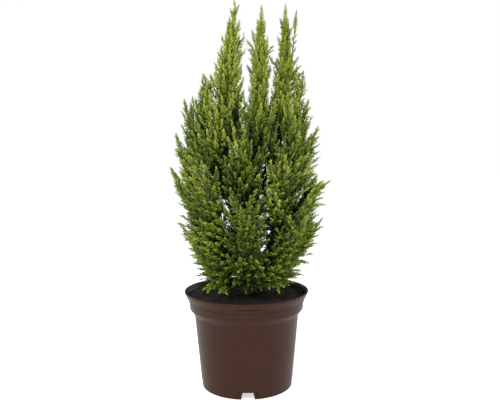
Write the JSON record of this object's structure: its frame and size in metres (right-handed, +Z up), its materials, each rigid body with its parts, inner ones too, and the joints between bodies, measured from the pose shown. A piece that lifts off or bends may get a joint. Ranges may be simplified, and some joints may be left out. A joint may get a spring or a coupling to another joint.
{
  "type": "potted golden lawson cypress",
  "caption": "Young upright golden conifer with feathery plumes and narrow leading tips, growing in a tapered brown plastic nursery pot of dark compost.",
  "frame": {"origin": "on the surface that the pot stands on, under the middle of the whole plant's box; the pot's own axis stands 8 mm to -X of it, because the branches reach further to +X", "axes": "+Z is up along the stem, -Y is the side that the picture shows, and +X is to its right"},
  "size_m": [0.2416, 0.2109, 0.582],
  "materials": {
    "pot_plastic": "satin brown moulded plastic",
    "compost": "loose dark moist compost",
    "bark": "thin fibrous reddish brown bark",
    "foliage": "matt golden green awl leaves, darker inside"
  },
  "bodies": {
    "root": {"pot": "pot_plastic", "soil": "compost", "trunk": "bark", "leader_left": "bark", "leader_right": "bark", "bough_back_centre": "bark", "bough_back_left": "bark", "bough_back_right": "bark", "bough_front_centre": "bark", "bough_front_far_right": "bark", "bough_front_left": "bark", "bough_front_left_upper": "bark", "bough_front_right": "bark", "bough_front_right_upper": "bark", "bough_left_low": "bark", "bough_left_side": "bark", "bough_left_upper": "bark", "bough_right_outer": "bark", "bough_right_reach": "bark", "bough_right_upper": "bark", "bough_skirt_back": "bark", "bough_skirt_back_left": "bark", "bough_skirt_back_right": "bark", "bough_skirt_front": "bark", "bough_skirt_front_left": "bark", "bough_skirt_front_right": "bark", "bough_skirt_left": "bark", "bough_skirt_right": "bark", "bough_spire_left_outer": "bark", "bough_spire_right_outer": "bark", "bough_spire_right_side": "bark", "back_centre": "foliage", "back_left": "foliage", "back_right": "foliage", "front_centre": "foliage", "front_far_right": "foliage", "front_left": "foliage", "front_left_upper": "foliage", "front_right": "foliage", "front_right_upper": "foliage", "left_low": "foliage", "left_side": "foliage", "left_upper": "foliage", "right_outer": "foliage", "right_reach": "foliage", "right_upper": "foliage", "skirt_back": "foliage", "skirt_back_left": "foliage", "skirt_back_right": "foliage", "skirt_front": "foliage", "skirt_front_left": "foliage", "skirt_front_right": "foliage", "skirt_left": "foliage", "skirt_right": "foliage", "spire_left": "foliage", "spire_left_outer": "foliage", "spire_middle": "foliage", "spire_right": "foliage", "spire_right_outer": "foliage", "spire_right_side": "foliage"}
  },
  "joints": []
}
